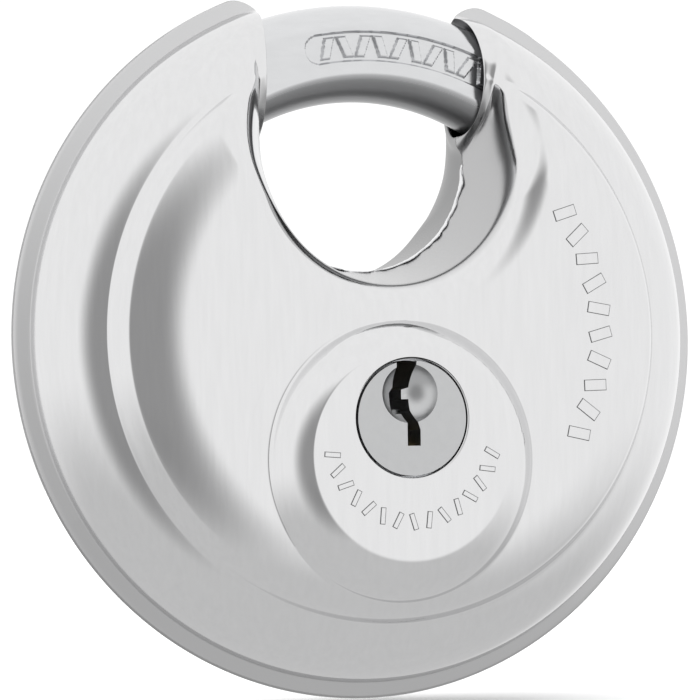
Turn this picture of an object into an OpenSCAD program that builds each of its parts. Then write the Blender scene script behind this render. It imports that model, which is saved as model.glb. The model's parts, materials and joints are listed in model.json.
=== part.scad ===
// Disc padlock: a round body of two pressed stainless shells, with a ring shackle that
// turns inside the body about the disc's own axis and closes a U-shaped throat.
// The modules work in the disc's frame: X to the right, Y up, Z towards the front face,
// with the disc's centre at the origin. place() stands the lock up, front face to -Y, and
// puts the row's origin at the middle of the shackle bar, where a hasp carries the lock.

/* [Body] */
// Outer diameter of the disc
disc_d = 70; // [69:0.5:72]
// Height of the flat front and rear faces above the shells' joint plane
face_h = 10.8; // [10.6:0.1:11.4]
// Wall thickness of the pressed shells
wall = 1.6; // [1.4:0.1:1.7]

/* [Throat] */
// Half-width of the throat at the joint plane
throat_r = 10.9; // [10:0.1:11.2]
// Height of the centre of the throat's round bottom above the disc's centre
throat_y = 17.2; // [17:0.1:18]

/* [Shackle] */
// Radius of the ring's centre line
ring_r = 27.6; // [27.4:0.1:27.7]
// Diameter of the shackle bar
bar_d = 9.4; // [9:0.1:9.5]
// Angle the shackle turns through from locked to open
shackle_turn = 62; // [60:1:63]
// Angle of the gap in the ring
ring_gap = 54; // [52:1:56]

/* [Cylinder] */
// Diameter of the plug
plug_d = 10.8; // [10.6:0.1:11]
// Distance of the plug's axis below the disc's centre
plug_drop = 8.1; // [8:0.1:8.4]
// Angle the key turns through from locked to open
key_turn = 158; // [154:1:160]
// Diameter of the pins in the pin stacks
pin_d = 2; // [1.8:0.1:2]
// Lengths of the key pins, from the front
key_pin_lengths = [3.6, 4.4, 3.2, 4.1, 3.8];

/* [Hidden] */
$fn = 96;
eps = 0.01;

// Materials' colours.
stainless = [0.80, 0.80, 0.81];
hardened = [0.70, 0.71, 0.73];
zinc = [0.62, 0.63, 0.65];
brass = [0.80, 0.66, 0.34];
spring_steel = [0.45, 0.46, 0.48];

// Body profile, as radius and height above the joint plane.
disc_r = disc_d / 2;
rim_flat = 0.3;                      // half the height of the rim's plain edge
bevel_in = 1.6;                      // radial width of the rim's bevel
bevel_top = 1.0;                     // height where the bevel ends
slope_arc = 8;                       // radius of the rounded flank above the channel
crease_r = ring_r;                   // the groove between the flank and the raised face
crease_h = 7.3;
shoulder_w = 4.9;                    // radial width of the raised face's rounded shoulder
shoulder_h = face_h - crease_h - 0.1;
face_r = crease_r - 0.3 - shoulder_w;
channel_r = bar_d / 2 + 0.3;         // section radius of the ring's channel in the shells
mouth_r = bar_d / 2 + 0.6;           // section radius of the mouths in the horns
mouth_angle = 42;                    // how far the mouths' wider channel runs from the top

// Throat profile, as distance outside the joint-plane outline and height.
flank_h = 8.9;
flank_flare = 2.1;
lip_flare = 1.4;
throat_top = 42;                     // where the cut-out ends above the disc

// Boss around the plug.
boss_y = -12;
boss_r = 13.3;
boss_h = 2.8;
boss_flat_r = 9.4;
boss_foot = 0.8;

// Cylinder and its parts, along Z.
plug_r = plug_d / 2;
plug_y = -plug_drop;
plug_gap = 0.05;
front_z = face_h + boss_h;
housing_r = 9.5;
housing_front = 10.4;
housing_rear = -3.2;
drill_plate_r = 9.9;
drill_plate_t = 1.4;
pin_r = pin_d / 2;
chamber_r = pin_r + 0.04;
stack_first = 8.6;                   // Z of the first pin stack
stack_step = 2.5;
shear_gap = 0.1;                     // room at each side of the shear line
driver_len = 3;
chamber_floor = boss_y - housing_r + 0.9;

// Drive between plug and shackle, along Z behind the housing.
clip_z = -3.9;
clip_t = 0.6;
cam_z = -5.1;
cam_t = 1.1;
crank = 5.2;                         // distance of the drive pin from the plug's axis
drive_pin_r = 1.8;
slot_side = 0.45;                    // side play of the drive pin in the plate's slot
plate_z = -7.1;
plate_t = 1.8;
plate_half_w = 4.25;
plate_outer_r = 25.4;
lug_inner_r = 22.75;
lug_outer_r = 25.6;
lug_half_angle = 9.5;
// The slot runs from the drive pin's nearest to its furthest place from the disc's centre.
slot_in = norm([crank * sin(key_turn / 2), plug_drop + crank * cos(key_turn / 2)]) - 0.15;
slot_out = plug_drop + crank + 0.15;
rivet_ring_r = 23.9;
rivet_angle = 4.6;
rivet_r = 1.1;
tang_w = 3.2;                        // across the flats of the plug's tang
tang_r = 3.6;

// Keyway section in the plug's own frame, open at the top, and the dish round the key entry.
keyway = [[-1.5, 6], [-1.5, 2.9], [-1.9, 2.4], [-1.9, 0.4], [-0.8, 0.4], [-0.5, -0.4],
          [-0.5, -2.6], [0.8, -2.6], [0.8, -1.1], [0.2, 0.7], [0.2, 1.8], [-0.5, 1.8],
          [-0.5, 2.7], [0.2, 2.9], [0.6, 6]];
keyway_floor = 1.2;                  // web left behind the keyway
dish_r = 3.2;
dish_centre = [-0.2, 2.3, front_z + 1.6];
key_tip = 0.8;                       // length of a key pin's taper

// Springs in the pin chambers.
spring_top = plug_y - plug_r - shear_gap - driver_len;
spring_h = spring_top - chamber_floor;
spring_r = 0.7;
wire_r = 0.14;
coils = 7;
spring_rings = 12 * coils;
wire_sides = 6;

// Housing's cover strip, dowel and set screw.
cover_strip = [2.6, 13.2];           // the chamber cover's width and length
strip_gap = 0.03;
dowel_r = 1.2;
set_screw_r = 1.5;
set_screw_z = 3;

// Shackle's front flat, and the bars stamped in its sunk panel in place of lettering.
flat_h = bar_d / 2 - 0.65;
nose_angle = 3;                      // how far each end is turned down
nose_in = 0.8;                       // and by how much on the radius
stamp_angles = [-12, 32];            // where the panel starts and ends
stamp_count = 11;
stamp_margin = 3;                    // angle from the panel's ends to the outer bars
stamp_lean = 14;
stamp_bar = [0.7, 1.9];
panel_r = ring_r + 0.3;
panel_w = 2.8;
panel_depth = 0.5;

// Core.
core_gap = 0.2;                      // between the core and the throat's walls
swing_room = 60;                     // half the angle of the recess that the plate swings in
tap_r = 1.05;                        // tapped holes for the cover's screws
head_r = 2.1;                        // their countersinks
core_r = 22.4;
core_front = 9;
core_rear = -8;
cover_z = -9.05;
cover_t = 0.95;
screw_spots = [[17.5, -6], [-17.5, -6], [16.2, 7.6], [-16.2, 7.6]];

// Angles are clockwise from the top as seen from the front; turn(a) turns children so.
module turn(a) rotate([0, 0, -a]) children();
// Straight down is 180. The drive is symmetric about it over the whole turn.
slot_angle = 180 - shackle_turn / 2;
pin_angle = 180 - key_turn / 2;
tip_angle = -35;                     // the shackle's free end when locked

function arc(c, rx, ry, a0, a1, n) =
    [for (i = [0:n]) let (a = a0 + (a1 - a0) * i / n) [c[0] + rx * cos(a), c[1] + ry * sin(a)]];
// Centre of the circle of radius r through a and b, on the left of the way from b to a.
function arc_centre(a, b, r) =
    let (m = (a + b) / 2, d = b - a, half = norm(d) / 2, n = [-d[1], d[0]] / norm(d))
    m + n * sqrt(r * r - half * half);
function angle_of(p, c) = atan2(p[1] - c[1], p[0] - c[0]);

bevel_end = [disc_r - bevel_in, bevel_top];
crease = [crease_r, crease_h];
slope_c = arc_centre(bevel_end, crease, slope_arc);

module place() translate([0, 0, -ring_r]) rotate([90, 0, 0]) children();

// Solid of a shell's outer form, before the throat is cut.
module outer_form() rotate_extrude() polygon(concat(
    [[0, 0], [disc_r, 0], [disc_r, rim_flat]],
    arc(slope_c, slope_arc, slope_arc, angle_of(bevel_end, slope_c), angle_of(crease, slope_c), 12),
    arc([face_r, crease_h + 0.1], shoulder_w, shoulder_h, 0, 90, 10),
    [[0, face_h]]));

// Space inside a shell: the ring's channel, and the higher room under the raised face.
module inner_form() rotate_extrude() polygon(concat(
    [[0, -eps], [ring_r + channel_r, -eps]],
    arc([ring_r, 0], channel_r, channel_r, 0, 106, 14),
    arc([face_r, crease_h], shoulder_w - wall, face_h - wall - crease_h, 0, 90, 8),
    [[0, face_h - wall]]));

// U-shaped cut-out: a cone below and straight flared walls above, then a wider lip.
module flared_u(z0, z1, r0, r1) {
    translate([0, throat_y, z0]) cylinder(r1 = r0, r2 = r1, h = z1 - z0);
    translate([0, throat_y, 0]) rotate([-90, 0, 0])
        linear_extrude(height = throat_top - throat_y)
            polygon([[-r0, -z0], [r0, -z0], [r1, -z1], [-r1, -z1]]);
}
module throat(grow) {
    flank_r = throat_r + flank_flare + grow;
    slope = lip_flare / (face_h - flank_h);
    flared_u(-eps, flank_h, throat_r + grow, flank_r);
    flared_u(flank_h - eps, face_h + 1, flank_r, flank_r + slope * (face_h + 1 - flank_h));
}
// A round section on the ring's centre line, to be turned about the disc's axis.
module turned_section(r) translate([ring_r, 0]) circle(r = r);
// Sweeps a section, drawn beside the axis, clockwise from angle a0 to a1.
module ring_sector(a0, a1) rotate([0, 0, 90 - a1]) rotate_extrude(angle = a1 - a0) children();

module half_shell() difference() {
    outer_form();
    throat(0);
    difference() {
        inner_form();
        throat(wall);
    }
    ring_sector(-mouth_angle, mouth_angle) turned_section(mouth_r);
}

module boss() translate([0, boss_y, 0]) rotate_extrude() polygon(concat(
    [[0, face_h - wall], [boss_r - 1, face_h - wall]],
    [[boss_r, face_h - 0.4], [boss_r - boss_foot, face_h + 0.8]],
    arc([boss_flat_r, face_h + 0.9], boss_r - boss_foot - boss_flat_r - 0.1, boss_h - 0.9, 0, 90, 8),
    [[0, face_h + boss_h]]));

module front_shell() color(stainless) difference() {
    union() {
        half_shell();
        boss();
    }
    translate([0, boss_y, 0]) cylinder(r = drill_plate_r + 0.1, h = face_h + boss_h - wall);
    translate([0, plug_y, 0]) cylinder(r = plug_r + 0.2, h = 20);
}
module rear_shell() color(stainless) mirror([0, 0, 1]) half_shell();

module stamp_bars() {
    step = (stamp_angles[1] - stamp_angles[0] - 2 * stamp_margin) / (stamp_count - 1);
    for (i = [0:stamp_count - 1])
        turn(stamp_angles[0] + stamp_margin + i * step)
            translate([0, panel_r, flat_h - panel_depth - eps])
                rotate([0, 0, i % 2 == 0 ? stamp_lean : -stamp_lean])
                    translate([-stamp_bar[0] / 2, -stamp_bar[1] / 2, 0])
                        cube([stamp_bar[0], stamp_bar[1], panel_depth - 0.1]);
}
module shackle() color(hardened) {
    tail = tip_angle + 360 - ring_gap;
    difference() {
        union() {
            ring_sector(tip_angle + nose_angle, tail - nose_angle) turned_section(bar_d / 2);
            // Both ends are turned down to a blunt nose.
            for (a = [tip_angle, tail - nose_angle])
                ring_sector(a, a + nose_angle + eps) turned_section(bar_d / 2 - nose_in);
            ring_sector(slot_angle - lug_half_angle, slot_angle + lug_half_angle)
                translate([lug_inner_r, plate_z + plate_t + 0.1])
                    square([lug_outer_r - lug_inner_r, 3]);
        }
        // Front flat, and the sunk panel in it.
        translate([0, 0, flat_h]) linear_extrude(height = 5) difference() {
            circle(r = ring_r + bar_d);
            circle(r = ring_r - bar_d);
        }
        ring_sector(stamp_angles[0], stamp_angles[1])
            translate([panel_r - panel_w / 2, flat_h - panel_depth]) square([panel_w, 3]);
        for (a = stamp_angles) turn(a)
            translate([0, panel_r, flat_h - panel_depth]) cylinder(r = panel_w / 2 - 0.05, h = 3);
        for (s = [-1, 1]) turn(slot_angle + s * rivet_angle)
            translate([0, rivet_ring_r, plate_z]) cylinder(r = rivet_r, h = 6);
    }
    stamp_bars();
}

// Bar along Y with a half-round inner end, from y0 outwards to y1.
module round_ended_bar(half_w, y0, y1, z, h) {
    translate([0, y0, z]) cylinder(r = half_w, h = h);
    translate([-half_w, y0, z]) cube([2 * half_w, y1 - y0, h]);
}
module drive_plate() color(hardened) turn(slot_angle) difference() {
    intersection() {
        round_ended_bar(plate_half_w, slot_in, plate_outer_r, plate_z, plate_t);
        translate([0, 0, plate_z - 1]) cylinder(r = plate_outer_r, h = plate_t + 2);
    }
    round_ended_bar(drive_pin_r + slot_side, slot_in, slot_out, plate_z - 1, plate_t + 2);
    translate([0, slot_out, plate_z - 1]) cylinder(r = drive_pin_r + slot_side, h = plate_t + 2);
    for (s = [-1, 1]) turn(s * rivet_angle)
        translate([0, rivet_ring_r, plate_z - 1]) cylinder(r = rivet_r, h = plate_t + 2);
}
module plate_rivets() color(hardened) for (s = [-1, 1]) turn(slot_angle + s * rivet_angle)
    translate([0, rivet_ring_r, 0]) {
        translate([0, 0, plate_z - eps]) cylinder(r = rivet_r, h = 5.9);
        translate([0, 0, plate_z - 0.75]) cylinder(r1 = rivet_r + 0.1, r2 = rivet_r + 0.5, h = 0.75);
    }

module drive_cam() color(hardened) translate([0, plug_y, cam_z]) difference() {
    cylinder(r = crank + drive_pin_r + 0.8, h = cam_t);
    tang(tang_w / 2 + 0.03, tang_r + 0.03, -1, cam_t + 2);
    turn(pin_angle) translate([0, crank, -1]) cylinder(r = drive_pin_r - 0.3, h = cam_t + 2);
    // Lightened on the side away from the drive pin.
    turn(pin_angle + 180) translate([0, crank + drive_pin_r + 2.4, -1]) cylinder(r = 4, h = cam_t + 2);
}
module drive_pin() color(hardened) translate([0, plug_y, 0]) turn(pin_angle)
    translate([0, crank, plate_z - 0.4]) {
        cylinder(r = drive_pin_r, h = cam_z - plate_z + 0.4 - eps);
        cylinder(r = drive_pin_r - 0.3, h = cam_z + cam_t - plate_z + 0.4);
    }

// Round bar with two flats, for the plug's tang.
module tang(half_w, r, z, h) intersection() {
    translate([0, 0, z]) cylinder(r = r, h = h);
    translate([-half_w, -r - 1, z]) cube([2 * half_w, 2 * r + 2, h]);
}

module plug() color(stainless) translate([0, plug_y, 0]) difference() {
    union() {
        translate([0, 0, housing_rear]) cylinder(r = plug_r, h = front_z - housing_rear);
        translate([0, 0, clip_z - eps]) cylinder(r = tang_r - 0.6, h = housing_rear - clip_z + 2 * eps);
        tang(tang_w / 2, tang_r, cam_z, clip_z - cam_z);
    }
    translate([0, 0, housing_rear + keyway_floor]) linear_extrude(height = 20) polygon(keyway);
    translate(dish_centre) sphere(r = dish_r);
    for (i = [0:4]) translate([0, 0.9, stack_z(i)]) rotate([90, 0, 0]) cylinder(r = chamber_r, h = 8);
}
function stack_z(i) = stack_first - i * stack_step;

// Key pin with a tapered tip, standing on the shear line.
module key_pin(i) color(brass) {
    len = key_pin_lengths[i - 1];
    translate([0, plug_y - plug_r + shear_gap, stack_z(i - 1)]) rotate([-90, 0, 0]) {
        cylinder(r = pin_r, h = len - key_tip);
        translate([0, 0, len - key_tip]) cylinder(r1 = pin_r, r2 = 0.35, h = key_tip);
    }
}
// Driver pin; the third is a spool.
module driver_pin(i) color(brass)
    translate([0, plug_y - plug_r - shear_gap, stack_z(i - 1)]) rotate([90, 0, 0]) difference() {
        cylinder(r = pin_r, h = driver_len);
        if (i == 3) translate([0, 0, 0.8]) difference() {
            cylinder(r = 3, h = driver_len - 1.6);
            translate([0, 0, -1]) cylinder(r = pin_r - 0.3, h = driver_len);
        }
    }

// Coil spring as one swept tube: rings of sides around a helix that flattens at its ends.
function helix(t) = [spring_r * cos(360 * coils * t), spring_r * sin(360 * coils * t),
                     wire_r + (spring_h - 2 * wire_r) * t];
module pin_spring(i) color(spring_steel)
    translate([0, chamber_floor, stack_z(i - 1)]) rotate([-90, 0, 0]) polyhedron(
        points = [for (k = [0:spring_rings])
                  let (t = k / spring_rings, p = helix(t), a = 360 * coils * t)
                  for (s = [0:wire_sides - 1]) let (b = 360 * s / wire_sides)
                      p + wire_r * [cos(b) * cos(a), cos(b) * sin(a), sin(b)]],
        faces = concat(
            [[for (s = [0:wire_sides - 1]) s]],
            [[for (s = [0:wire_sides - 1]) spring_rings * wire_sides + wire_sides - 1 - s]],
            [for (k = [0:spring_rings - 1], s = [0:wire_sides - 1]) let (n = (s + 1) % wire_sides)
                each [[k * wire_sides + s, (k + 1) * wire_sides + s, (k + 1) * wire_sides + n],
                      [k * wire_sides + s, (k + 1) * wire_sides + n, k * wire_sides + n]]]));

module cylinder_housing() color(brass) difference() {
    translate([0, boss_y, housing_rear]) cylinder(r = housing_r, h = housing_front - housing_rear);
    translate([0, plug_y, housing_rear - 1]) cylinder(r = plug_r + plug_gap, h = 20);
    for (i = [0:4]) translate([0, plug_y, stack_z(i)]) rotate([90, 0, 0]) cylinder(r = chamber_r, h = 20);
    translate([-cover_strip[0] / 2, boss_y - housing_r - 1, housing_rear + 0.3])
        cube([cover_strip[0], chamber_floor - boss_y + housing_r + 1, cover_strip[1]]);
    translate([-housing_r, boss_y, -1]) cylinder(r = dowel_r, h = 20);
    translate([housing_r - 1.2, boss_y, set_screw_z]) rotate([0, 90, 0])
        cylinder(r = set_screw_r + 0.05, h = 5);
}
module chamber_cover() color(brass) intersection() {
    translate([0, boss_y, housing_rear]) cylinder(r = housing_r - 0.05, h = 15);
    translate([-cover_strip[0] / 2 + strip_gap, boss_y - housing_r - 1, housing_rear + 0.3 + strip_gap])
        cube([cover_strip[0] - 2 * strip_gap, chamber_floor - boss_y + housing_r + 1 - 0.02,
              cover_strip[1] - 2 * strip_gap]);
}
module anti_drill_plate() color(hardened) difference() {
    translate([0, boss_y, housing_front + 0.1]) cylinder(r = drill_plate_r, h = drill_plate_t);
    translate([0, plug_y, 0]) cylinder(r = plug_r + plug_gap, h = 20);
}
module housing_dowel() color(hardened)
    translate([-housing_r, boss_y, -1]) cylinder(r = dowel_r - 0.02, h = core_front);
module housing_set_screw() color(spring_steel)
    translate([housing_r - 1.1, boss_y, set_screw_z]) rotate([0, 90, 0]) difference() {
        union() {
            cylinder(r1 = 0.7, r2 = set_screw_r, h = 0.9);
            translate([0, 0, 0.9]) cylinder(r = set_screw_r, h = 5.5);
        }
        translate([0, 0, 5]) cylinder(r = 0.85, h = 3, $fn = 6);
    }
module retaining_clip() color(spring_steel) translate([0, plug_y, clip_z]) difference() {
    cylinder(r = tang_r + 0.9, h = clip_t);
    translate([0, 0, -1]) cylinder(r = tang_r - 0.57, h = 3);
    turn(200) translate([-1.6, 0, -1]) cube([3.2, 6, 3]);
}

module core_block() color(zinc) difference() {
    translate([0, 0, core_rear]) cylinder(r = core_r, h = core_front - core_rear);
    throat(wall + core_gap);
    mirror([0, 0, 1]) throat(wall + core_gap);
    translate([0, boss_y, core_rear - 1]) cylinder(r = housing_r + 0.05, h = 20);
    // Room behind the housing for the cam and for the plate's swing.
    translate([0, plug_y, core_rear - 1])
        cylinder(r = crank + drive_pin_r + 1.1, h = housing_rear - core_rear + 0.9);
    ring_sector(180 - swing_room, 180 + swing_room)
        translate([5.2, core_rear - 1]) square([core_r, plate_z + plate_t + 0.4 - core_rear + 1]);
    translate([-housing_r, boss_y, -1]) cylinder(r = dowel_r, h = 20);
    translate([housing_r - 2, boss_y, set_screw_z]) rotate([0, 90, 0])
        cylinder(r = set_screw_r + 0.05, h = 20);
    for (p = screw_spots) translate([p[0], p[1], core_rear - 1]) cylinder(r = tap_r, h = 7);
    // Cored out from the front to save metal.
    for (s = [-1, 1]) {
        translate([s * 16.6, 0.6, 1]) cylinder(r = 3, h = 20);
        translate([s * 14.8, -11.8, 1.8]) cylinder(r = 2, h = 20);
    }
}
module core_cover() color(hardened) difference() {
    translate([0, 0, cover_z]) cylinder(r = core_r - 0.6, h = cover_t);
    mirror([0, 0, 1]) throat(wall + core_gap);
    for (p = screw_spots) translate([p[0], p[1], cover_z]) {
        translate([0, 0, -1]) cylinder(r = tap_r + 0.2, h = 3);
        translate([0, 0, -eps]) cylinder(r1 = head_r, r2 = tap_r + 0.2, h = 0.8);
    }
}
module cover_screws() color(spring_steel) for (p = screw_spots) translate([p[0], p[1], cover_z]) difference() {
    union() {
        cylinder(r1 = head_r - 0.05, r2 = tap_r + 0.15, h = 0.8);
        cylinder(r = tap_r - 0.03, h = 6.5);
    }
    translate([-2.5, -0.25, -1]) cube([5, 0.5, 1.4]);
}

place() front_shell();
place() rear_shell();
place() core_block();
place() core_cover();
place() cover_screws();
place() anti_drill_plate();
place() cylinder_housing();
place() housing_dowel();
place() housing_set_screw();
place() chamber_cover();
for (i = [1:5]) {
    place() driver_pin(i);
    place() pin_spring(i);
    place() key_pin(i);
}
place() plug();
place() retaining_clip();
place() drive_cam();
place() drive_pin();
place() shackle();
place() drive_plate();
place() plate_rivets();
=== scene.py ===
"""Disc padlock: the visual model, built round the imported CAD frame.

Lengths in the shape functions are millimetres in the disc's own frame: x to the right, y up
and d the depth in front of the joint plane, with the disc's centre as origin. place() turns
them into the row's frame in metres.
"""
import json
import math

import bmesh
import bpy
import numpy as np
from mathutils import Matrix, Vector


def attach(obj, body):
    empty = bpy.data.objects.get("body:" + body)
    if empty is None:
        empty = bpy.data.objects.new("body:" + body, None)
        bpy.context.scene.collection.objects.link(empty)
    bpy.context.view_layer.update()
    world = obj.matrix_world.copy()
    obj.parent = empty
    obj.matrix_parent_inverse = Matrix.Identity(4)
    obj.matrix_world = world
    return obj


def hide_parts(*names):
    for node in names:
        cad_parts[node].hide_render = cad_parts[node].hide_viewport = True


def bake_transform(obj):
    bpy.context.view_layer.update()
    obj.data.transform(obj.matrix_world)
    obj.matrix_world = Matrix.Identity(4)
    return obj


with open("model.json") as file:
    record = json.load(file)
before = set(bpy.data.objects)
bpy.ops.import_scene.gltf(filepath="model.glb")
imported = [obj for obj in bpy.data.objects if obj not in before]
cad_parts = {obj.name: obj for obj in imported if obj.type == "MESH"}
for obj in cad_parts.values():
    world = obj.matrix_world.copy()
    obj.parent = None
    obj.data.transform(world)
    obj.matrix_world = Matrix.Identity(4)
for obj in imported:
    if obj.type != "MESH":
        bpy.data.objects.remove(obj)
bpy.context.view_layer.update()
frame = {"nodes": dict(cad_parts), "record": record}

# ---- driving sizes, as in the CAD -------------------------------------------------------
MM = 0.001
RING_R = 27.6            # centre line of the shackle ring
BAR_R = 4.7
FLAT_D = 4.05            # the shackle's front flat
DISC_R = 35.0
FACE_D = 10.8            # raised face's height above the joint plane
THROAT_R = 10.9
THROAT_Y = 17.2
PLUG_Y = -8.1
FRONT_D = 13.6           # the boss's face
CENTRE_Z = -RING_R * MM  # the disc's centre in the row's frame


def place(p):
    """Disc frame in millimetres to the row's frame in metres."""
    p = np.asarray(p, float)
    return np.stack([p[..., 0] * MM, -p[..., 2] * MM, p[..., 1] * MM + CENTRE_Z], -1)


def make_object(name, points, faces):
    """A smooth-shaded mesh object with outward normals."""
    mesh = bpy.data.meshes.new(name)
    mesh.from_pydata(place(points).tolist(), [], faces)
    mesh.update()
    mesh.polygons.foreach_set("use_smooth", [True] * len(mesh.polygons))
    obj = bpy.data.objects.new(name, mesh)
    bpy.context.scene.collection.objects.link(obj)
    return obj


def sharpen(obj, degrees):
    """Marks the edges that turn by more than this as sharp."""
    obj.data.set_sharp_from_angle(angle=math.radians(degrees))


def tidy_mesh(obj):
    """Drops loose points and turns every face outwards."""
    bm = bmesh.new()
    bm.from_mesh(obj.data)
    loose = [v for v in bm.verts if not v.link_faces]
    bmesh.ops.delete(bm, geom=loose, context="VERTS")
    bmesh.ops.recalc_face_normals(bm, faces=bm.faces)
    bm.to_mesh(obj.data)
    bm.free()


def smoothstep(x, lo, hi):
    t = np.clip((x - lo) / (hi - lo), 0, 1)
    return t * t * (3 - 2 * t)


def smooth_max(a, b, k):
    return np.maximum(a, b) + np.maximum(k - np.abs(a - b), 0) ** 2 / (4 * k)


def grid_faces(rows, cols, closed=False):
    """Quads of a grid of points stored row by row; closed joins the last column to the first."""
    i, j = np.meshgrid(np.arange(rows - 1), np.arange(cols if closed else cols - 1), indexing="ij")
    n = (j + 1) % cols
    quads = np.stack([i * cols + j, (i + 1) * cols + j, (i + 1) * cols + n, i * cols + n], -1)
    return quads.reshape(-1, 4).tolist()


# ---- shell surface ----------------------------------------------------------------------
BAND_R, BAND_D = 33.4, 1.05      # where the rim's bevel meets the flank
CREASE_R, CREASE_D = 27.7, 7.3   # the valley between flank and raised face
FLANK_ARC = 8.0                  # radius of the flank's bulge
SHOULDER_SLOPE = 2.3             # the raised face's steep foot
SHOULDER_R, SHOULDER_D = CREASE_R + 0.05, CREASE_D - 0.3   # a point that the foot passes through
DOME_R, DOME_FALL = 20.9, 0.041  # where the raised face's edge starts to fall away, and how fast
RIM_EDGE = 0.12                  # half thickness of the rim's sharp edge
DOME_BLEND = 0.9                 # width of the rounding where dome and foot meet
CREASE_BLEND = 0.5               # and where foot and flank meet
BAND_BLEND = 0.4                 # and where flank and bevel meet
FLARE = 0.18                     # the throat's front wall leans back by this much per unit of depth
REAR_FLARE = 0.03                # and its rear wall by this much
LIP_D = 8.9                      # depth where the throat's wall turns into its lip
LIP_BLEND = 1.2                  # width of the rounding between lip and raised face
WALL_BLEND, WALL_GAIN = 0.3, 2.4     # of that between lip and wall, and what it gains near the horns
WALL_FROM_Y, WALL_TO_Y = 9.0, 22.0   # over these heights on the disc
HORN_BLEND, HORN_GAIN = 0.4, 2.2     # of that round the horns, and what it gains away from the rim
RIM_NEAR, RIM_FAR = 1.0, 6.0         # over these heights of the shell
MOUTH_ANGLE = 22.6               # where the first row of the shell meets the rim
MOUTH_Y = 17.2                   # and where it meets the throat's wall
HORN_R, HORN_FLARE = 6.75, 0.62  # section radius of a horn at its mouth, and how fast it widens
HORN_FROM_Y, HORN_FADE = 23.5, 0.07  # the taper fades out below this height, and how fast
MOUTH_PLANE = 10.25              # distance of each mouth from the disc's middle plane
MOUTH_LEAN = 0.16                # and how much that grows per unit of depth
MOUTH_R = BAR_R + 0.7            # radius of each mouth's opening
MOUTH_TURN = 1.5                 # half the height over which the throat's circle turns straight
LIP_ROWS = 14                    # rows of the lip that curls into a mouth
LIP_PULL, LIP_LEAST = 0.62, 0.05     # how far the curl runs on before it turns, and the least run
MOUTH_X = math.sqrt(THROAT_R ** 2 - (MOUTH_Y - THROAT_Y) ** 2)
THROAT_REACH = math.pi / 2 + math.asin((MOUTH_Y - THROAT_Y) / THROAT_R)   # half the throat's arc
SKIN = 0.9                       # thickness of the shell's sheet
NU, NV = 400, 160                # rows round the disc, and points from rim to throat
ROW_SAMPLES = 900                # steps along a row while its points are being placed
TURN_WEIGHT = 1.6                # millimetres of row that a radian of turning counts for
BISECTIONS = 32                  # halvings that find the surface's height
EVEN = 5                         # points on each side that the inner skin's normals are averaged over
LIP_EVEN = 7                     # and that the directions in which the lips set off are averaged over


def flank_height(r):
    """Height on the arc that bulges outwards from the rim's band to the crease."""
    mid = np.array([BAND_R + CREASE_R, BAND_D + CREASE_D]) / 2
    chord = np.array([CREASE_R - BAND_R, CREASE_D - BAND_D])
    half = np.linalg.norm(chord) / 2
    c = mid + np.array([-chord[1], chord[0]]) / (2 * half) * math.sqrt(FLANK_ARC ** 2 - half ** 2)
    return c[1] + np.sqrt(np.maximum(FLANK_ARC ** 2 - (r - c[0]) ** 2, 0))


def outer_height(r):
    """The shell's profile from the rim to the raised face."""
    inside = np.minimum(DISC_R - r, 2 * (DISC_R - BAND_R))
    bevel = RIM_EDGE + inside * (BAND_D - RIM_EDGE) / (DISC_R - BAND_R)
    dome = FACE_D - DOME_FALL * np.maximum(r - DOME_R, 0) ** 2
    foot = SHOULDER_D + SHOULDER_SLOPE * (SHOULDER_R - r)
    shoulder = -smooth_max(-dome, -foot, DOME_BLEND)
    return smooth_max(smooth_max(bevel, flank_height(r), BAND_BLEND), shoulder, CREASE_BLEND)


def throat_distance(x, y):
    """Distance outside the throat's outline at the joint plane."""
    below = np.hypot(x, y - THROAT_Y) - THROAT_R
    beside = np.abs(x) - MOUTH_X
    straight = smoothstep(y, MOUTH_Y - MOUTH_TURN, MOUTH_Y + MOUTH_TURN)
    return below * (1 - straight) + beside * straight


def surface_height(x, y, flare=FLARE):
    """Height of the shell's outer surface over a place on the disc, found by bisection."""
    top = outer_height(np.hypot(x, y))
    away = throat_distance(x, y)
    from_rim = smoothstep(top, RIM_NEAR, RIM_FAR)
    wall_blend = WALL_BLEND + WALL_GAIN * smoothstep(y, WALL_FROM_Y, WALL_TO_Y) * from_rim
    horn_blend = HORN_BLEND + HORN_GAIN * from_rim
    from_ring = np.abs(np.hypot(x, y) - RING_R)
    fade = HORN_FADE * np.maximum(HORN_FROM_Y - y, 0) ** 2
    horn_r = HORN_R + HORN_FLARE * np.maximum(np.abs(x) - MOUTH_PLANE, 0) + fade
    low = np.zeros_like(top)
    high = top + 0.5
    for _ in range(BISECTIONS):
        z = (low + high) / 2
        wall = (z * flare - away) / math.hypot(1, flare)
        lip = (z - LIP_D - (away - LIP_D * flare)) / math.sqrt(2)
        horn = np.hypot(from_ring, z) - horn_r
        outside = smooth_max(smooth_max(z - top, lip, LIP_BLEND), wall, wall_blend)
        outside = smooth_max(outside, horn, horn_blend)
        high = np.where(outside > 0, z, high)
        low = np.where(outside > 0, low, z)
    return (low + high) / 2


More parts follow.
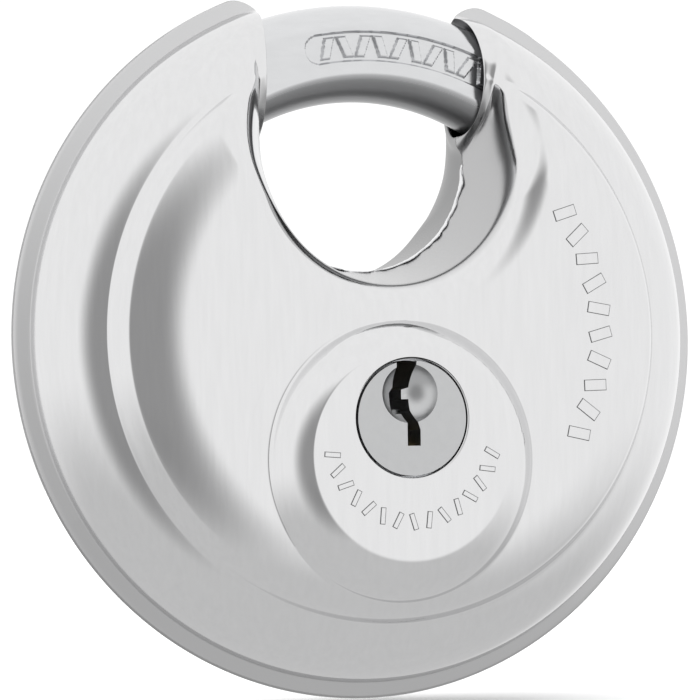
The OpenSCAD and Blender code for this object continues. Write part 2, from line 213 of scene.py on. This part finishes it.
def shell_rows(flare):
    """Rows of the outer surface, from the left mouth round the bottom to the right mouth."""
    turn = np.linspace(-1, 1, NU)
    rim_angle = turn * (math.pi - math.radians(MOUTH_ANGLE))
    throat_angle = turn * THROAT_REACH
    rim = DISC_R * np.stack([np.sin(rim_angle), -np.cos(rim_angle)], -1)
    throat = THROAT_R * np.stack([np.sin(throat_angle), -np.cos(throat_angle)], -1) + [0, THROAT_Y]
    steps = np.linspace(0, 1, ROW_SAMPLES)
    inward = steps[None, :, None]
    plan = rim[:, None] * (1 - inward) + throat[:, None] * inward
    z = surface_height(plan[..., 0], plan[..., 1], flare)
    # Spread the points along each row by its length and by how much it turns.
    step = np.concatenate([np.diff(plan, axis=1), np.diff(z, axis=1)[..., None]], -1)
    length = np.linalg.norm(step, axis=-1)
    pitch = np.arctan2(step[..., 2], np.linalg.norm(step[..., :2], axis=-1))
    turning = np.abs(np.diff(pitch, axis=1, prepend=pitch[:, :1]))
    turning = (turning + np.roll(turning, 1, 1) + np.roll(turning, -1, 1)) / 3
    measure = np.cumsum(length + TURN_WEIGHT * turning, axis=1)
    measure = np.concatenate([np.zeros((NU, 1)), measure], 1)
    spots = np.linspace(0, 1, NV)
    inward = np.array([np.interp(spots * m[-1], m, steps) for m in measure])[..., None]
    plan = rim[:, None] * (1 - inward) + throat[:, None] * inward
    z = surface_height(plan[..., 0], plan[..., 1], flare)
    z[:, 0] = 0
    z[:, -1] = 0
    return np.concatenate([plan, z[..., None]], -1)


def unit(vectors):
    return vectors / np.linalg.norm(vectors, axis=-1, keepdims=True)


def grid_normals(points):
    """Unit normals of a grid of points, towards the shell's outside, evened out along the rows."""
    normals = unit(np.cross(np.gradient(points, axis=0), np.gradient(points, axis=1)))
    wide = np.pad(normals, ((0, 0), (EVEN, EVEN), (0, 0)), "edge")
    return unit(sum(wide[:, k:k + normals.shape[1]] for k in range(2 * EVEN + 1)))


def mouth_rows(edge, next_row, side):
    """Rows of the lip that curls from the horn's end row, edge, round into the shackle's mouth.

    next_row is the row beside edge, and side is -1 for the left mouth and 1 for the right one.
    """
    around = np.arctan2(edge[:, 2], np.hypot(edge[:, 0], edge[:, 1]) - RING_R)
    from_centre = RING_R + MOUTH_R * np.cos(around)
    depth = MOUTH_R * np.sin(around)
    across = MOUTH_PLANE + MOUTH_LEAN * depth
    ring = np.stack([side * across, np.sqrt(from_centre ** 2 - across ** 2), depth], -1)
    centre = np.array([side * MOUTH_X, math.sqrt(RING_R ** 2 - MOUTH_X ** 2), 0])
    outset = unit(edge - next_row)
    wide = np.pad(outset, ((LIP_EVEN, LIP_EVEN), (0, 0)), "edge")
    outset = unit(sum(wide[k:k + len(edge)] for k in range(2 * LIP_EVEN + 1)))
    inset = unit(centre - ring)
    gap = ring - edge
    run_out = LIP_PULL * np.maximum((gap * outset).sum(-1, keepdims=True), LIP_LEAST)
    run_in = LIP_PULL * np.maximum((gap * inset).sum(-1, keepdims=True), LIP_LEAST)
    w = np.linspace(0, 1, LIP_ROWS + 1)[1:, None, None]
    c0, c1, c2, c3 = edge, edge + outset * run_out, ring - inset * run_in, ring
    rows = (1 - w) ** 3 * c0 + 3 * (1 - w) ** 2 * w * c1 + 3 * (1 - w) * w ** 2 * c2 + w ** 3 * c3
    rows[:, 0, 2] = 0
    rows[:, -1, 2] = 0
    return rows


def outer_at(i, j):
    """Number of a point on the outer skin, counted past the left mouth's lip."""
    return (i + LIP_ROWS) * NV + j


def inner_at(i, j):
    """Number of a point on the inner skin."""
    return (NU + 2 * LIP_ROWS + i) * NV + j


def hole_walls(kept):
    """Walls between the two skins round the quads that aren't kept."""
    faces = []
    for i, j in np.argwhere(~kept).tolist():
        sides = ((i > 0 and kept[i - 1, j], (i, j), (i, j + 1)),
                 (i < NU - 2 and kept[i + 1, j], (i + 1, j + 1), (i + 1, j)),
                 (j > 0 and kept[i, j - 1], (i + 1, j), (i, j)),
                 (j < NV - 2 and kept[i, j + 1], (i, j + 1), (i + 1, j + 1)))
        for wall, start, end in sides:
            if wall:
                faces.append([outer_at(*start), outer_at(*end), inner_at(*end), inner_at(*start)])
    return faces


def joint_faces():
    """The joint faces along the rim and the throat, and the inner side of each mouth."""
    rows = NU + 2 * LIP_ROWS
    faces = []
    for j in (0, NV - 1):
        for i in range(NU - 1):
            faces.append([outer_at(i, j), inner_at(i, j), inner_at(i + 1, j), outer_at(i + 1, j)])
        faces.append([i * NV + j for i in range(LIP_ROWS + 1)] + [inner_at(0, j)])
        faces.append([i * NV + j for i in range(rows - LIP_ROWS - 1, rows)] + [inner_at(NU - 1, j)])
    last = (rows - 1) * NV
    for j in range(NV - 1):
        faces.append([j, j + 1, inner_at(0, j + 1), inner_at(0, j)])
        faces.append([last + j + 1, last + j, inner_at(NU - 1, j), inner_at(NU - 1, j + 1)])
    return faces


def shell_mesh(name, front):
    """One pressed shell: slot 0 is its polished outside, slot 1 its raw inside and its edges."""
    outer = shell_rows(FLARE if front else REAR_FLARE)
    inner = outer - SKIN * grid_normals(outer)
    inner[:, 0, 2] = 0
    inner[:, -1, 2] = 0
    left = mouth_rows(outer[0], outer[1], -1)[::-1]
    right = mouth_rows(outer[-1], outer[-2], 1)
    full = np.concatenate([left, outer, right])
    hidden = np.zeros(full.shape[:2], bool)
    if front:
        hidden = np.hypot(full[..., 0], full[..., 1] - BOSS_Y) < HOLE_R
    quads = np.array(grid_faces(len(full), NV))
    faces = quads[~hidden.reshape(-1)[quads].any(1)].tolist()
    polished = len(faces)
    quads = np.array(grid_faces(NU, NV))
    kept = ~hidden[LIP_ROWS:-LIP_ROWS].reshape(-1)[quads].any(1)
    faces += (quads[kept] + inner_at(0, 0)).tolist()
    faces += hole_walls(kept.reshape(NU - 1, NV - 1)) + joint_faces()
    points = np.concatenate([full.reshape(-1, 3), inner.reshape(-1, 3)])
    if not front:
        points = points * [1, 1, -1]
    obj = make_object(name, points, faces)
    obj.data.polygons.foreach_set("material_index", [0] * polished + [1] * (len(faces) - polished))
    tidy_mesh(obj)
    return obj


# ---- boss -------------------------------------------------------------------------------
BOSS_Y, BOSS_FOOT_R = -12.0, 13.2
BOSS_TOP_Y, BOSS_TOP_R = -11.6, 9.9
BOSS_SKIRT_R = 15.4      # where the boss's foot ends on the shell
SKIRT_SLOPE = 2.5        # how fast the foot would fall if the shell weren't under it
SKIRT_LIFT = 0.004       # height of the foot over the shell, so that it shows and not the shell
SKIRT_WALL = (0.5, 0.8)  # thickness at the skirt's edge, and at the hole
HOLE_R = 14.6            # hole in the front shell under the boss
HOLE_INSET = 1.2         # the boss's hidden side starts this far inside it
UNDER_D, UNDER_R = FRONT_D - 1.6, 10.1   # underside of the boss's face
PLUG_HOLE_R, PLUG_EDGE_R = 5.58, 0.15    # the plug's hole, and its rounded edge
PLUG_EDGE_STEPS = 3
BOSS_FLANK = (66, 24)    # the flank is an arc between these angles, in degrees
BOSS_FILLET = 0.4        # width of the rounding where the boss meets the shell
BOSS_COLS = 480
FACE_ROWS, FLANK_ROWS = 14, 26


def circle(y, r):
    """Points round a circle on the vertical centre line, clockwise from its top."""
    a = np.linspace(0, 2 * math.pi, BOSS_COLS, endpoint=False)
    return np.stack([r * np.sin(a), y + r * np.cos(a)], -1)


def boss_mesh():
    hole = circle(PLUG_Y, PLUG_HOLE_R)
    top = circle(BOSS_TOP_Y, BOSS_TOP_R)
    foot = circle(BOSS_Y, BOSS_FOOT_R)
    skirt = circle(BOSS_Y, BOSS_SKIRT_R)
    rows = []

    def row(plan, d):
        depth = np.broadcast_to(np.asarray(d, float), (BOSS_COLS,))
        rows.append(np.concatenate([plan, depth[:, None]], 1))

    def row_over_shell(plan, d, lift=0.0):
        ground = surface_height(plan[:, 0], plan[:, 1])
        row(plan, smooth_max(np.full(BOSS_COLS, d), ground, BOSS_FILLET) + lift)

    row(hole, UNDER_D)
    row(hole, FRONT_D - 2 * PLUG_EDGE_R)
    for a in np.linspace(0, math.pi / 2, PLUG_EDGE_STEPS + 1):
        edge = circle(PLUG_Y, PLUG_HOLE_R + PLUG_EDGE_R * (1 - math.cos(a)))
        row(edge, FRONT_D - PLUG_EDGE_R * (1 - math.sin(a)))
    for w in np.linspace(0.05, 0.97, FACE_ROWS):
        row(hole * (1 - w) + top * w, FRONT_D)
    # The flank bulges slightly, and its top edge is crisp.
    start, end = np.radians(BOSS_FLANK)
    for a in np.linspace(start, end, FLANK_ROWS):
        out = (math.cos(a) - math.cos(start)) / (math.cos(end) - math.cos(start))
        down = (math.sin(start) - math.sin(a)) / (math.sin(start) - math.sin(end))
        row_over_shell(top * (1 - out) + foot * out, FRONT_D - (FRONT_D - FACE_D) * down)
    for w in np.linspace(0, 1, FLANK_ROWS)[1:]:
        fall = FACE_D - SKIRT_SLOPE * (BOSS_SKIRT_R - BOSS_FOOT_R) * w
        row_over_shell(foot * (1 - w) + skirt * w, fall, SKIRT_LIFT)
    edge_depth = rows[-1][:, 2]
    row(skirt, edge_depth - SKIRT_WALL[0])
    row(circle(BOSS_Y, HOLE_R - HOLE_INSET), edge_depth - SKIRT_WALL[1])
    row(circle(BOSS_Y, UNDER_R), UNDER_D)
    faces = grid_faces(len(rows), BOSS_COLS, closed=True)
    last = (len(rows) - 1) * BOSS_COLS
    for j in range(BOSS_COLS):
        n = (j + 1) % BOSS_COLS
        faces.append([last + j, j, n, last + n])
    obj = make_object("face_boss", np.concatenate(rows), faces)
    tidy_mesh(obj)
    sharpen(obj, 24)
    return obj


# ---- shackle ----------------------------------------------------------------------------
TIP_ANGLE, TAIL_ANGLE = -35.0, 271.0     # the ring's two ends, clockwise from the top
END_INSET, END_LENGTH = 0.8, 3.4         # how much the ends taper, and over how many degrees
FLAT_EDGE = 0.12                         # the flat stops this far short of the bar's round
ROUND_EDGE = 0.04                        # and the round this many radians short of the flat
FLAT_POINTS, ROUND_POINTS = 45, 76
PANEL = (-11.0, 34.0)                    # where the sunk panel starts and ends
PANEL_MARGIN = 4.0                       # degrees of finer rows beyond each end of the panel
PANEL_R, PANEL_W = 27.95, 2.9            # its centre line and its width
PANEL_DEPTH = 0.42
PANEL_WALL = (-0.16, 0.02)               # its wall slopes between these distances from its outline
MARKS = 12                               # raised marks left standing in it
MARK_HALF_W, MARK_HALF_L = 0.4, 0.95
MARK_LEAN = 0.35                         # sideways shift of a mark per unit of its length
MARK_WALL = (-0.02, 0.14)                # a mark's side slopes between these distances
MARK_RISE = 0.95                         # its height as a share of the panel's depth


def bar_section():
    """Closed section of the bar as radial offset and depth, with a front flat."""
    half = math.sqrt(BAR_R ** 2 - FLAT_D ** 2)
    corner = math.atan2(FLAT_D, half)
    back = np.linspace(corner - ROUND_EDGE, -math.pi - corner + ROUND_EDGE, ROUND_POINTS)
    flat = np.linspace(-half + FLAT_EDGE, half - FLAT_EDGE, FLAT_POINTS)
    around = np.stack([BAR_R * np.cos(back), BAR_R * np.sin(back)], -1)
    return np.concatenate([around, np.stack([flat, np.full(FLAT_POINTS, FLAT_D)], -1)])


def panel_depth(angle, offset):
    """How far the flat is sunk at an angle and radial offset, with raised marks left standing."""
    along = np.radians(angle) * PANEL_R
    start, end = np.radians(PANEL) * PANEL_R
    across = offset + RING_R - PANEL_R
    edge = np.hypot(along - np.clip(along, start, end), across) - PANEL_W / 2
    sunk = 1 - smoothstep(edge, *PANEL_WALL)
    pitch = (end - start) / MARKS
    cell = (along - start) / pitch
    number = np.floor(cell)
    lean = np.where(number % 2 == 0, MARK_LEAN, -MARK_LEAN)
    aside = (cell - number - 0.5) * pitch - lean * across
    mark = np.maximum(np.abs(aside) - MARK_HALF_W, np.abs(across) - MARK_HALF_L)
    inside = (cell > 0) & (cell < MARKS)
    stand = np.where(inside, 1 - smoothstep(mark, *MARK_WALL), 0)
    return PANEL_DEPTH * sunk * (1 - MARK_RISE * stand)


def shackle_mesh():
    fine_from, fine_to = PANEL[0] - PANEL_MARGIN, PANEL[1] + PANEL_MARGIN
    angles = np.concatenate([
        np.linspace(TIP_ANGLE, -26, 14)[:-1],
        np.linspace(-26, fine_from, 18)[:-1],
        np.linspace(fine_from, fine_to, 300)[:-1],
        np.linspace(fine_to, TAIL_ANGLE, 170)])
    section = bar_section()
    on_flat = section[:, 1] == FLAT_D
    rows = []
    for angle in angles:
        from_end = min(angle - TIP_ANGLE, TAIL_ANGLE - angle)
        inset = END_INSET * (1 - smoothstep(from_end, 0.0, END_LENGTH))
        offset, depth = (section * (1 - inset / BAR_R)).T
        depth = np.where(on_flat, depth - panel_depth(angle, offset), depth)
        a, r = math.radians(angle), RING_R + offset
        rows.append(np.stack([r * math.sin(a), r * math.cos(a), depth], -1))
    cols = len(section)
    faces = grid_faces(len(rows), cols, closed=True)
    for base in (0, (len(rows) - 1) * cols):
        faces.append(list(range(base, base + cols)))
    obj = make_object("shackle_bar", np.concatenate(rows), faces)
    tidy_mesh(obj)
    sharpen(obj, 25)
    return obj


# ---- weld -------------------------------------------------------------------------------
WELD_ROWS, WELD_SIDES = 420, 14
WELD_HALF_W, WELD_RISE = 0.42, 0.08
WELD_LIFT = 0.02                         # its centre stands this far off the throat's wall
RIPPLE, RIPPLES_PER_MM = 0.03, 2.6       # height and spacing of its ripples
WANDER, WANDER_SPAN = 0.03, 24           # size and smoothing of its irregular course
WELD_SPARE = 20                          # rows of noise beyond each end, which smoothing spoils
WELD_END = 0.02                          # the bead stops this many radians short of the mouths
WELD_FADE = 0.06                         # and sinks into the wall over this many


def weld_mesh():
    """The rippled bead along the joint inside the throat."""
    reach = THROAT_REACH - WELD_END
    along = np.linspace(-reach, reach, WELD_ROWS)
    noise = np.random.default_rng(7).normal(size=WELD_ROWS + 2 * WELD_SPARE)
    wander = np.convolve(noise, np.hanning(WANDER_SPAN), "same")[WELD_SPARE:-WELD_SPARE] * WANDER
    ripple = RIPPLE * np.abs(np.sin(along * THROAT_R * RIPPLES_PER_MM + wander * 20))
    half = WELD_HALF_W + wander * 1.3 + ripple
    fade = smoothstep(reach - np.abs(along), 0, WELD_FADE)
    rise = (WELD_RISE + ripple * 0.9 + np.abs(wander) * 0.25) * fade
    around = np.linspace(0, 2 * math.pi, WELD_SIDES, endpoint=False)
    depth = np.cos(around)[None] * half[:, None] + wander[:, None] * 1.5
    r = THROAT_R - np.sin(around)[None] * rise[:, None] - WELD_LIFT
    a = along[:, None]
    points = np.stack([r * np.sin(a), THROAT_Y - r * np.cos(a), depth], -1)
    faces = grid_faces(WELD_ROWS, WELD_SIDES, closed=True)
    for base in (0, (WELD_ROWS - 1) * WELD_SIDES):
        faces.append(list(range(base, base + WELD_SIDES)))
    obj = make_object("weld_bead", points.reshape(-1, 3), faces)
    tidy_mesh(obj)
    return obj


# ---- generic marks ----------------------------------------------------------------------
MARK_H, MARK_SUNK, MARK_BEVEL = 0.07, 0.05, 0.07
MARK_LEVELS = ((0, -MARK_SUNK), (0, MARK_H * 0.6), (-MARK_BEVEL, MARK_H))   # growth and height


def mark_mesh(name, spots, half_w, half_l, lean, face):
    """A row of small raised bars; spots are (x, y, angle) and face is the height they stand on."""
    points, faces = [], []
    for number, (x, y, angle) in enumerate(spots):
        tilt = angle + (lean if number % 2 else -lean)
        c, s = math.cos(tilt), math.sin(tilt)
        first = len(points)
        for grow, height in MARK_LEVELS:
            for u, v in ((-1, -1), (1, -1), (1, 1), (-1, 1)):
                a, b = u * (half_w + grow), v * (half_l + grow)
                points.append((x + a * c - b * s, y + a * s + b * c, face + height))
        for ring in (first, first + 4):
            for i in range(4):
                n = (i + 1) % 4
                faces.append([ring + i, ring + n, ring + 4 + n, ring + 4 + i])
        faces.append([first + 8 + i for i in range(4)])
        faces.append([first + 3 - i for i in range(4)])
    obj = make_object(name, np.array(points), faces)
    obj.data.polygons.foreach_set("material_index", ([1] * 8 + [0, 1]) * len(spots))
    tidy_mesh(obj)
    sharpen(obj, 20)
    return obj


def arc_spots(centre_y, radius, first, last, count):
    """Places along an arc round (0, centre_y), by angle clockwise from the top, facing its centre."""
    return [(radius * math.sin(a), centre_y + radius * math.cos(a), -a)
            for a in np.radians(np.linspace(first, last, count))]


# ---- materials --------------------------------------------------------------------------
GRAIN_SHADE = 0.9        # how much darker the grain's lows are


class Nodes:
    """Short calls for building one material's node tree."""

    def __init__(self, name):
        self.material = bpy.data.materials.new(name)
        self.material.use_nodes = True
        self.tree = self.material.node_tree
        self.shader = self.tree.nodes["Principled BSDF"]

    def add(self, kind, **values):
        node = self.tree.nodes.new(kind)
        for key, value in values.items():
            if key in node.inputs:
                node.inputs[key].default_value = value
            else:
                setattr(node, key, value)
        return node

    def link(self, a, out, b, inp):
        self.tree.links.new(a.outputs[out], b.inputs[inp])

    def tinted(self, amount, plain, colour):
        """Mixes a colour output with a fixed colour by an amount output."""
        mix = self.add("ShaderNodeMix", data_type="RGBA")
        self.tree.links.new(amount, mix.inputs["Factor"])
        self.tree.links.new(plain, mix.inputs[6])
        mix.inputs[7].default_value = (*colour, 1)
        return mix.outputs[2]

    def matted(self, amount, plain, roughness):
        """Mixes a roughness output with a fixed roughness by an amount output."""
        mix = self.add("ShaderNodeMix", data_type="FLOAT")
        self.tree.links.new(amount, mix.inputs["Factor"])
        self.tree.links.new(plain, mix.inputs[2])
        mix.inputs[3].default_value = roughness
        return mix.outputs[0]

    def beyond(self, split, centre_y, start, end):
        """0 to 1 as the distance from (0, centre_y) in the disc's frame goes from start to end."""
        up = self.add("ShaderNodeMath", operation="SUBTRACT")
        up.inputs[1].default_value = CENTRE_Z + centre_y * MM
        self.link(split, "Z", up, 0)
        flat = self.add("ShaderNodeCombineXYZ")
        self.link(split, "X", flat, "X")
        self.link(up, "Value", flat, "Y")
        radius = self.add("ShaderNodeVectorMath", operation="LENGTH")
        self.link(flat, "Vector", radius, 0)
        mask = self.add("ShaderNodeMapRange", interpolation_type="SMOOTHSTEP")
        mask.inputs["From Min"].default_value = min(start, end) * MM
        mask.inputs["From Max"].default_value = max(start, end) * MM
        mask.inputs["To Min"].default_value = float(end < start)
        mask.inputs["To Max"].default_value = float(end > start)
        self.link(radius, "Value", mask, "Value")
        return mask.outputs["Result"]


def steel(name, colour, roughness, grain, stretch, depth, wear=0.04, dull_and_shade=()):
    """Bare metal with a fine directional grain and cloudy variation in its polish.

    grain is the grain's fineness, stretch its scale along each axis, depth its height in metres
    and wear how much the roughness varies. Each zone in the last argument is (centre height,
    start, end, colour factor, roughness): the finish turns duller and its colour darker by the
    colour factor as the distance from that centre goes from start to end, in millimetres in the
    disc's frame. The darker colour is painted shade in the throat and on the shackle's inner
    side, and the matt band's own tone round the rim.
    """
    m = Nodes(name)
    m.shader.inputs["Metallic"].default_value = 1.0
    coords = m.add("ShaderNodeTexCoord")
    mapping = m.add("ShaderNodeMapping", Scale=stretch)
    m.link(coords, "Object", mapping, "Vector")
    fine = m.add("ShaderNodeTexNoise", Scale=grain, Detail=6.0, Roughness=0.62)
    m.link(mapping, "Vector", fine, "Vector")
    cloud = m.add("ShaderNodeTexNoise", Scale=85.0, Detail=4.0, Roughness=0.55)
    m.link(coords, "Object", cloud, "Vector")
    rough = m.add("ShaderNodeMapRange")
    rough.inputs["To Min"].default_value = roughness - wear
    rough.inputs["To Max"].default_value = roughness + wear
    m.link(cloud, "Fac", rough, "Value")
    tint = m.add("ShaderNodeMix", data_type="RGBA")
    tint.inputs[6].default_value = (*[c * GRAIN_SHADE for c in colour], 1)
    tint.inputs[7].default_value = (*colour, 1)
    m.link(fine, "Fac", tint, "Factor")
    colour_out, rough_out = tint.outputs[2], rough.outputs["Result"]
    split = m.add("ShaderNodeSeparateXYZ")
    m.link(coords, "Object", split, "Vector")
    # Each zone darkens the colour and roughens the finish: painted shade in the throat and on the
    # shackle's inner side, the matt band's tone round the rim.
    for centre_y, start, end, factor, matt in dull_and_shade:
        amount = m.beyond(split, centre_y, start, end)
        colour_out = m.tinted(amount, colour_out, [c * factor for c in colour])
        rough_out = m.matted(amount, rough_out, matt)
    m.tree.links.new(colour_out, m.shader.inputs["Base Color"])
    m.tree.links.new(rough_out, m.shader.inputs["Roughness"])
    bump = m.add("ShaderNodeBump", Strength=0.35, Distance=depth)
    m.link(fine, "Fac", bump, "Height")
    m.link(bump, "Normal", m.shader, "Normal")
    return m.material


def dress(obj, *materials):
    """Gives obj these materials, and keeps which slot each face uses."""
    kept = [p.material_index for p in obj.data.polygons]
    obj.data.materials.clear()
    for material in materials:
        obj.data.materials.append(material)
    if len(materials) > 1:
        obj.data.polygons.foreach_set("material_index", kept)


def stainless(name, throat_shade_and_dull):
    """The shells' polish, with a matt band round the rim and a rougher throat darkened by painted shade.
    """
    rim_dull = (0, 33.1, 33.4, 0.82, 0.42)
    return steel(name, (0.75, 0.75, 0.755), 0.08, 1500.0, (1.0, 1.0, 0.1), 0.000007,
                 dull_and_shade=(rim_dull, (THROAT_Y, 13.2, 12.3, *throat_shade_and_dull)))


EVENLY = (1.0, 1.0, 1.0)
# Each shell's throat colour factor and roughness: the darker colour there is painted shade, strongest on
# the rear shell.
STAINLESS = stainless("polished_stainless", (0.62, 0.25))
REAR_STAINLESS = stainless("polished_rear_stainless", (0.3, 0.3))
# The ring's inner side, towards the disc's centre, is rougher and its colour darker: the darker colour is
# painted shade.
SHACKLE_STEEL = steel("brushed_shackle_steel", (0.70, 0.705, 0.715), 0.2, 1400.0, (0.3, 1.0, 1.0), 0.00002,
                      dull_and_shade=((0, 25.4, 24.6, 0.55, 0.3),))
PLUG_STEEL = steel("turned_plug_steel", (0.57, 0.575, 0.58), 0.3, 1200.0, EVENLY, 0.00002)
HARD_STEEL = steel("hardened_steel", (0.60, 0.61, 0.63), 0.28, 900.0, (1.0, 0.2, 1.0), 0.00001)
DARK_STEEL = steel("dark_spring_steel", (0.38, 0.385, 0.40), 0.34, 1200.0, EVENLY, 0.00001)
RAW_STEEL = steel("unpolished_steel", (0.24, 0.24, 0.245), 0.5, 700.0, EVENLY, 0.00002)
ZINC = steel("cast_zinc", (0.58, 0.585, 0.60), 0.42, 500.0, EVENLY, 0.00003, wear=0.08)
BRASS = steel("turned_brass", (0.80, 0.62, 0.30), 0.24, 1100.0, (1.0, 0.15, 1.0), 0.00001)
WELD = steel("weld_steel", (0.82, 0.82, 0.83), 0.2, 1500.0, EVENLY, 0.00005, wear=0.08)

BY_SLOT = {"polished_stainless": STAINLESS, "hardened_steel": HARD_STEEL, "plug_steel": PLUG_STEEL,
           "cast_zinc": ZINC, "turned_brass": BRASS, "spring_steel": DARK_STEEL}
for part in frame["record"]["subparts"]:
    dress(frame["nodes"][part["node"]], BY_SLOT[part["material_slot"]])

# ---- pieces -----------------------------------------------------------------------------
front = shell_mesh("front_shell_pressing", True)
rear = shell_mesh("rear_shell_pressing", False)
boss = boss_mesh()
weld = weld_mesh()
shackle = shackle_mesh()
face_marks = mark_mesh("face_marks", arc_spots(0, 20.6, 56, 118, 10), 0.55, 1.15, 0.28, FACE_D)
boss_marks = mark_mesh("boss_marks", arc_spots(-9.6, 8.2, 103, 257, 15), 0.26, 0.8, 0.3, FRONT_D)

dress(front, STAINLESS, RAW_STEEL)
dress(rear, REAR_STAINLESS, RAW_STEEL)
dress(boss, STAINLESS)
dress(weld, WELD)
for marks in (face_marks, boss_marks):
    dress(marks, STAINLESS, RAW_STEEL)
for piece in (front, rear, boss, weld, face_marks, boss_marks):
    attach(piece, "body")
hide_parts("front_shell")
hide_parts("front_shell")
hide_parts("rear_shell")
dress(shackle, SHACKLE_STEEL)
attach(shackle, "shackle")
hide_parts("shackle")

# Each spring's coil is copied into an object of its own, and the imported spring is hidden.
PIN_COUNT = 5
for number in range(1, PIN_COUNT + 1):
    node = f"pin_spring_{number}"
    coil = bpy.data.objects.new(f"spring_coil_{number}", frame["nodes"][node].data.copy())
    bpy.context.scene.collection.objects.link(coil)
    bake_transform(coil)
    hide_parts(node)

# ---- floor, light and camera ------------------------------------------------------------
FLOOR_SIZE = 8
FLOOR_GAP = 0.0004       # between the disc's rim and the floor
bpy.ops.mesh.primitive_plane_add(size=FLOOR_SIZE, location=(0, 0, CENTRE_Z - DISC_R * MM - FLOOR_GAP))
floor = bpy.context.object
floor.name = "floor"
pale = Nodes("pale_floor")
pale.shader.inputs["Base Color"].default_value = (0.9, 0.9, 0.9, 1)
pale.shader.inputs["Roughness"].default_value = 0.9
dress(floor, pale.material)

# A plain soft studio: bright walls and ceiling, a paler floor side, and a darker side where the
# camera stands. Heights are the upward part of a direction, and angles are in degrees.
WALL_LIGHT, FLOOR_LIGHT, CAMERA_LIGHT = 1.1, 0.7, 0.35
FLOOR_SIDE = (-0.6, -0.1)        # the floor side turns into the walls between these heights
CAMERA_SIDE = (-0.35, -0.95, 0)  # direction of the darker side
CAMERA_SPREAD = (38, 12)         # it darkens between these angles from that direction


def studio_world():
    """A soft world in three tones: walls, floor side and camera side."""
    studio = bpy.data.worlds.new("studio")
    studio.use_nodes = True
    tree = studio.node_tree
    link = tree.links.new

    def ramp(value, edges, tones):
        """A smooth change of tone as value goes between two edges."""
        node = tree.nodes.new("ShaderNodeMapRange")
        node.interpolation_type = "SMOOTHSTEP"
        for socket, number in zip(("From Min", "From Max", "To Min", "To Max"), (*edges, *tones)):
            node.inputs[socket].default_value = number
        link(value, node.inputs["Value"])
        return node.outputs["Result"]

    coords = tree.nodes.new("ShaderNodeTexCoord").outputs["Generated"]
    axes = tree.nodes.new("ShaderNodeSeparateXYZ")
    link(coords, axes.inputs[0])
    facing = tree.nodes.new("ShaderNodeVectorMath")
    facing.operation = "DOT_PRODUCT"
    link(coords, facing.inputs[0])
    facing.inputs[1].default_value = Vector(CAMERA_SIDE).normalized()
    spread = [math.cos(math.radians(angle)) for angle in CAMERA_SPREAD]
    brightness = tree.nodes.new("ShaderNodeMath")
    brightness.operation = "MULTIPLY"
    link(ramp(axes.outputs["Z"], FLOOR_SIDE, (FLOOR_LIGHT, WALL_LIGHT)), brightness.inputs[0])
    link(ramp(facing.outputs["Value"], spread, (1, CAMERA_LIGHT)), brightness.inputs[1])
    link(brightness.outputs[0], tree.nodes["Background"].inputs["Color"])
    return studio


bpy.context.scene.world = studio_world()
bpy.context.scene.view_settings.view_transform = "Standard"
floor.visible_glossy = False

lamp = bpy.data.lights.new("overhead", "SUN")
lamp.angle = math.radians(60)
lamp.energy = 1.6
overhead = bpy.data.objects.new("overhead", lamp)
overhead.rotation_euler = (math.radians(-12), math.radians(10), 0)
overhead.visible_glossy = False
bpy.context.scene.collection.objects.link(overhead)

CAMERA_FROM = (-0.1207, -0.3283, -0.0126)   # from the disc's centre
CAMERA_ROLL = -0.85                         # degrees
AIM = (-0.00103, 0.00038, -0.00123)         # the point looked at, from the disc's centre
camera_data = bpy.data.cameras.new("camera")
camera_data.lens = 185.1
camera = bpy.data.objects.new("camera", camera_data)
bpy.context.scene.collection.objects.link(camera)
bpy.context.scene.camera = camera
disc_centre = Vector((0, 0, CENTRE_Z))
camera.location = disc_centre + Vector(CAMERA_FROM)
aim = disc_centre + Vector(AIM) - camera.location
roll = Matrix.Rotation(math.radians(CAMERA_ROLL), 4, "Z")
camera.rotation_euler = (aim.to_track_quat("-Z", "Y").to_matrix().to_4x4() @ roll).to_euler()
camera_data.clip_start = 0.01
camera_data.clip_end = 50
